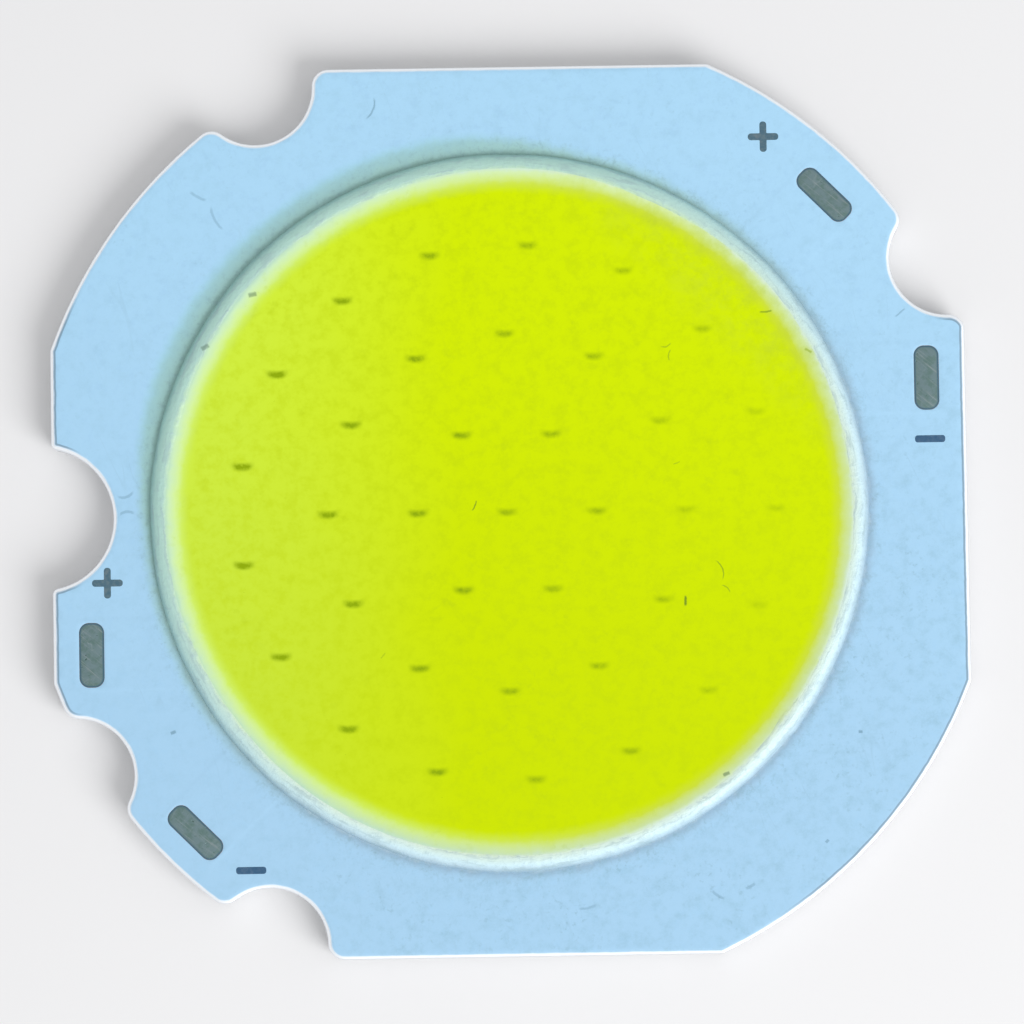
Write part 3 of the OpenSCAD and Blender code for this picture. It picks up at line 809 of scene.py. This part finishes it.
# ---------- Silicone dam ----------
# One bead of white silicone, laid by a needle that runs round the field and laps over its start.
# It stands on the mask, is a little uneven, and lets some of the yellow show through inside.
DAM_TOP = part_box("dam_ring")[1][2] / MM
dam_r, bead_r, dam_steps, bead_steps = 16.6, 0.65, 720, 30
bead_z = DAM_TOP - bead_r


def dam_wander(turn):
    """How far the bead's middle strays outwards: a sum of three slow waves."""
    return 0.022 * np.sin(3 * turn + 0.7) + 0.014 * np.sin(8 * turn + 2.1) + 0.007 * np.sin(
        19 * turn + 0.3)


def lap(turn):
    """1 at the place where the bead laps over its start, falling off as a bell."""
    away = (turn + np.radians(38) + np.pi) % (2 * np.pi) - np.pi
    return np.exp(-((away / np.radians(1.6)) ** 2))


def dam_bead(turns, sections):
    """The bead is a round section carried round a circle. At each turn the section is an arc
    from its inner foot over the crest to its outer foot; its half width and its height vary with
    slow waves and grow at the lap. The underside is flat."""
    turn, lean = np.meshgrid(turns, sections, indexing="ij")
    half = bead_r * (0.975 + 0.02 * np.sin(11 * turn + 1.1) + 0.012 * np.sin(27 * turn)
                     + 0.09 * lap(turn))
    tall = bead_r * (0.972 + 0.012 * np.sin(7 * turn + 0.4) + 0.012 * lap(turn))
    out = dam_r + dam_wander(turn) - half * np.cos(lean)
    height = bead_z + tall * np.sin(lean)
    return np.stack([FIELD_CENTRE[0] + out * np.cos(turn), FIELD_CENTRE[1] + out * np.sin(turn),
                     height], -1)


dam_turns = np.linspace(0, 2 * np.pi, dam_steps, endpoint=False)
foot = np.arcsin((MASK_TOP - foil_step - 0.002 - bead_z) / bead_r)
dam_leans = np.linspace(np.pi - foot, foot, bead_steps)
dam = lay_tube("silicone_dam", list(dam_bead(dam_turns, dam_leans).transpose(1, 0, 2)), 70)

silicone, tree, shader, place = new_finish("white_silicone")
ring = use(tree, around_field, {"Place": place})
split = put(tree, "SeparateXYZ", {0: place}).outputs
streaks = noise(tree, place, 1.6, 4.0, 0.65)
wavy_r = calc(tree, "ADD", ring["Radius"], calc(tree, "MULTIPLY_ADD", streaks, 0.3, -0.15))
# The dam takes across_dam's colours: a painted highlight on the lit lower right, painted shade on
# the upper left.
body = use(tree, across_dam, {"Radius": wavy_r, "Upper Left": ring["Upper Left"]})[0]
along_ring = put(tree, "CombineXYZ", {
    0: calc(tree, "MULTIPLY", wavy_r, 4.5), 1: calc(tree, "MULTIPLY", split[0], 0.55),
    2: calc(tree, "MULTIPLY", split[1], 0.55)}).outputs[0]
strands = noise(tree, along_ring, 1.0, 4.0, 0.65)
grainy_noise = noise(tree, place, 3.2, 4.0, 0.7)
# Darker streaks along the ring paint the shade in the bead's wrinkles, which the bump also raises.
body = mixed(tree, fade(tree, strands, 0.5, 0.66), body, (0.30, 0.43, 0.46, 1), 0.42)
body = mixed(tree, fade(tree, grainy_noise, 0.52, 0.7), body, (0.36, 0.50, 0.52, 1), 0.35)
grains = [(-12.2, 10.5, 0.2, 0.24, 0.0, 0.15, 0.6), (-14.5, 8.0, 0.5, 0.24, 0.0, 0.15, 0.6),
          (10.1, -12.8, 0.4, 0.2, 0.0, 0.12, 0.6)]
body = marked(tree, place, body, (0.09, 0.17, 0.11, 1), grains)
coat(tree, shader, body, (streaks, 0.15, 0.28), calc(tree, "ADD", strands, grainy_noise), 0.00004)
dam.data.materials.append(silicone)
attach(dam, "root")
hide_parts("dam_ring")

# ---------- Phosphor silicone ----------
# Clear silicone full of yellow phosphor is poured inside the dam over dies and wires, and cures
# to a rubbery disc that climbs the dam at its edge. Over each die it looks darker.
FILL_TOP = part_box("phosphor_fill")[1][2] / MM
fill_edge_r, rise_r, level_z, climb = 16.42, 15.6, FILL_TOP - 0.11, 0.122
die_boxes = np.array([[*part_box(node)] for node in die_nodes]) / MM
die_centres = die_boxes.reshape(-1, 2, 3).mean(axis=1)[:, :2]
fill_steps, above = 360, 0.002
fill_turns = np.linspace(0, 2 * np.pi, fill_steps, endpoint=False)
fill_radii = np.concatenate([np.linspace(0.25, 15, 60), np.linspace(15.1, fill_edge_r + 0.1, 16)])


def fill_surface(turns, radii):
    """The top of the fill: a level middle with slow waves a hundredth of a millimetre high, and
    past the rise a curve that grows with the square of the distance, until it dives into the
    dam. It follows the dam's wandering at its edge."""
    turn, radius = np.meshgrid(turns, radii, indexing="ij")
    share = np.clip((radius - rise_r) / (fill_edge_r - rise_r), 0, 1)
    out = radius + dam_wander(turn) * share
    x, y = FIELD_CENTRE[0] + out * np.cos(turn), FIELD_CENTRE[1] + out * np.sin(turn)
    waves = 0.006 * np.sin(0.55 * x + 0.8) * np.cos(0.47 * y + 0.3) - 0.006
    return np.stack([x, y, level_z + climb * share**2 + waves * (1 - share)], -1)


surface = fill_surface(fill_turns, fill_radii).transpose(1, 0, 2)
spokes = np.stack([np.cos(fill_turns), np.sin(fill_turns)], 1)
underside = [(16.46, FILL_TOP - 0.12), (16.15, MASK_TOP + 0.25), (16.1, MASK_TOP + above),
             (15.3, COPPER_TOP + above), (15.02, INSULATION_TOP + above), (14.98, PLATE_TOP + above)]
skirt = [at_height(FIELD_CENTRE + r * spokes, z) for r, z in underside]
fill_rows = skirt[::-1] + list(surface[::-1])
fill_foot = [*FIELD_CENTRE, PLATE_TOP + above]
fill_middle = fill_surface(np.zeros(1), np.zeros(1)).ravel()
fill_points = np.concatenate([*fill_rows, [fill_foot, fill_middle]])
fill = lay_capped("phosphor_silicone", fill_rows, fill_foot, fill_middle)
# Each point of the fill near a die knows its place beside it, in millimetres, and how strongly
# that die shows, which fades towards the right. A point between dies lies far to the side.
apart = fill_points[:, None, :2] - die_centres[None]
nearest = np.argmin((apart**2).sum(axis=2), axis=1)
beside_die = apart[np.arange(len(fill_points)), nearest]
far = np.hypot(*beside_die.T) > 1.3
beside_die[far] = np.column_stack([3 * np.sign(beside_die[far, 0]), np.full(far.sum(), 4)])
showing = np.clip(0.64 - 0.031 * die_centres[:, 0] + 0.06 * np.sin(5 * die_centres.sum(1)), 0.2, 1)
over_die = fill.data.attributes.new("over_die", "FLOAT_VECTOR", "POINT")
over_die.data.foreach_set(
    "vector", np.column_stack([beside_die, showing[nearest]]).astype(np.float32).ravel())

phosphor, tree, shader, place = new_finish("phosphor_silicone")
ring = use(tree, around_field, {"Place": place})
split = put(tree, "SeparateXYZ", {0: place}).outputs
broad = calc(tree, "MULTIPLY_ADD", noise(tree, place, 0.16, 2.0), 4.0, -2.0)
# The yellow is painted lighter towards the top, a painted fall of light.
fill_light_towards_top = fade(tree, calc(tree, "ADD", broad, split[1]), -15.0, 15.0)
pure = mixed(tree, fill_light_towards_top, (0.583, 0.742, 0.001, 1), (0.640, 0.822, 0.001, 1))
milky = mixed(tree, fill_light_towards_top, (0.549, 0.738, 0.048, 1), (0.625, 0.850, 0.062, 1))
yellow = mixed(tree, fade(tree, calc(tree, "ADD", broad, split[0]), -2.0, -17.0), pure, milky)
settled = noise(tree, place, 1.4, 4.0, 0.7)
yellow = mixed(tree, fade(tree, settled, 0.4, 0.7), yellow, (0.500, 0.650, 0.004, 1), 0.4)
die_spot = put(tree, "SeparateXYZ", {0: put(
    tree, "Attribute", attribute_name="over_die").outputs["Vector"]}).outputs
sagging = calc(tree, "MULTIPLY_ADD", calc(tree, "MULTIPLY", die_spot[0], die_spot[0]), -0.3,
               calc(tree, "ADD", die_spot[1], 0.04))
across = fade(tree, calc(tree, "ABSOLUTE", sagging), 0.28, 0.0)
along = fade(tree, calc(tree, "ABSOLUTE", die_spot[0]), 0.66, 0.1)
patchy = calc(tree, "MULTIPLY_ADD", noise(tree, place, 4.5, 4.0, 0.7), 2.0, 0.25)
shadow = calc(tree, "MULTIPLY", calc(tree, "MULTIPLY", across, along),
              calc(tree, "MULTIPLY", die_spot[2], patchy))
yellow = mixed(tree, calc(tree, "MINIMUM", shadow, 1.0), yellow, (0.27, 0.40, 0.004, 1))
# Near the dam the fill takes across_dam's colours: paler where it thins over the dam, with painted
# light and shade.
thin_wave = calc(tree, "MULTIPLY_ADD", noise(tree, place, 1.4, 4.0, 0.65), 0.36, -0.18)
thin_r = calc(tree, "ADD", ring["Radius"], thin_wave)
thin_colour = use(tree, across_dam, {"Radius": thin_r, "Upper Left": ring["Left"]})[0]
yellow = mixed(tree, fade(tree, thin_r, 15.2, 15.9), yellow, thin_colour)
yellow = marked(tree, place, yellow, (0.16, 0.27, 0.02, 1), [
    (-1.7, 0.2, 1.15, 0.3, 0.4, 0.05, 0.75), (8.3, -4.5, 1.5, 0.28, 0.0, 0.08, 0.9),
    (10.1, -3.0, 1.9, 0.55, 0.7, 0.05, 0.6), (10.3, -3.9, 2.4, 0.3, 1.2, 0.05, 0.5),
    (7.6, 7.7, 0.3, 0.3, 1.4, 0.05, 0.45), (7.7, 7.3, 1.4, 0.3, -0.9, 0.05, 0.45),
    (12.4, 9.3, 0.1, 0.35, 0.2, 0.06, 0.7), (14.4, 7.4, -0.5, 0.22, 0.0, 0.08, 0.6),
    (8.0, 2.1, 0.4, 0.2, 0.5, 0.04, 0.4), (-6.2, -6.9, 0.9, 0.2, 0.3, 0.05, 0.3)])
yellow = marked(tree, place, yellow, (0.09, 0.17, 0.11, 1), grains)
dust = use(tree, dirt, {"Place": place, "Grain": 2.2, "Share": 0.62})["Mask"]
yellow = mixed(tree, dust, yellow, (0.420, 0.560, 0.010, 1), 0.3)
dusty = calc(tree, "MULTIPLY", fade(tree, calc(tree, "ADD", split[0], split[1]), 16.5, 21.5),
             fade(tree, noise(tree, place, 0.9, 5.0, 0.7), 0.35, 0.75))
yellow = mixed(tree, dusty, yellow, (0.480, 0.610, 0.040, 1), 0.5)
coat(tree, shader, yellow, (settled, 0.2, 0.4), settled, 0.000008)
shader.inputs["Specular IOR Level"].default_value = 0.03
fill.data.materials.append(phosphor)
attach(fill, "root")
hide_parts("phosphor_fill")

# ---------- Floor and backdrop ----------
# The board lies flat on a plain pale table. Seen from below, the table is left out, and so it is
# for light that leaves the underside and meets the table within the gap between them.
table_half, table_z, lit_gap = 1.5, -0.0001, 0.0006
table_mesh = bpy.data.meshes.new("table")
table_mesh.from_pydata([(x * table_half, y * table_half, table_z) for x, y in (
    (-1, -1), (1, -1), (1, 1), (-1, 1))], [], [(0, 1, 2, 3)])
table = bpy.data.objects.new("table", table_mesh)
bpy.context.collection.objects.link(table)
table_paint, tree, shader, place = new_finish("pale_table")
tree.links.new(mixed(tree, noise(tree, place, 0.02, 2.0), (0.80, 0.80, 0.81, 1),
                     (0.84, 0.84, 0.85, 1)), shader.inputs["Base Color"])
shader.inputs["Roughness"].default_value = 0.9
shader.inputs["Specular IOR Level"].default_value = 0.1
in_gap = calc(tree, "LESS_THAN", put(tree, "LightPath").outputs["Ray Length"], lit_gap)
behind = calc(tree, "MAXIMUM", put(tree, "NewGeometry").outputs["Backfacing"], in_gap)
clear = put(tree, "BsdfTransparent").outputs[0]
shown = put(tree, "MixShader", {0: behind, 1: shader.outputs[0], 2: clear}).outputs[0]
tree.links.new(shown, tree.nodes["Material Output"].inputs["Surface"])
table_mesh.materials.append(table_paint)

# ---------- Light ----------
# Soft daylight from all round, and one large soft lamp on the right in front.
world = bpy.data.worlds.new("soft_room")
world.use_nodes = True
bpy.context.scene.world = world
tree = world.node_tree
path = put(tree, "LightPath").outputs
seen = calc(tree, "MAXIMUM", path["Is Camera Ray"],
            calc(tree, "MAXIMUM", path["Is Glossy Ray"], path["Is Transmission Ray"]))
room = put(tree, "Mix", {0: seen, 2: 0.66, 3: 1.0}, data_type="FLOAT").outputs[0]
tree.links.new(room, tree.nodes["Background"].inputs["Strength"])
tree.nodes["Background"].inputs["Color"].default_value = (1, 1, 1, 1)

lamp_data = bpy.data.lights.new("soft_lamp", "AREA")
lamp_data.shape = "DISK"
lamp_data.size = 0.35
lamp_data.energy = 1.7
lamp = bpy.data.objects.new("soft_lamp", lamp_data)
lamp.location = (0.28, -0.26, 0.30)
lamp.rotation_mode = "QUATERNION"
lamp.rotation_quaternion = (-Vector(lamp.location)).to_track_quat("-Z", "Y")
bpy.context.collection.objects.link(lamp)

# ---------- Camera ----------
# Looks straight down from twenty centimetres, a little from the front and the left, and turned
# by a degree.
roll, tilt_x, tilt_y, camera_height = np.radians(0.909), np.radians(-0.4187), np.radians(-2.448), 0.2
right = np.array([np.cos(roll), -np.sin(roll), 0.0])
upwards = np.array([np.sin(roll), np.cos(roll), 0.0])
backwards = tilt_x * right + tilt_y * upwards + np.array([0.0, 0.0, 1.0])
backwards /= np.linalg.norm(backwards)
right -= (right @ backwards) * backwards
right /= np.linalg.norm(right)
upwards = np.cross(backwards, right)
aim = np.array([0.0, 0.0, 0.0016]) + right * 0.0000762 - upwards * 0.0001013
spot = aim + backwards * camera_height
view = bpy.data.cameras.new("view")
view.lens = 146.53
view.sensor_width = 36
view.clip_start, view.clip_end = 0.01, 10
camera = bpy.data.objects.new("view", view)
rows = np.column_stack([right, upwards, backwards, spot]).tolist()
camera.matrix_world = Matrix([*rows, [0, 0, 0, 1]])
bpy.context.collection.objects.link(camera)
bpy.context.scene.camera = camera
bpy.context.scene.view_settings.view_transform = "Standard"
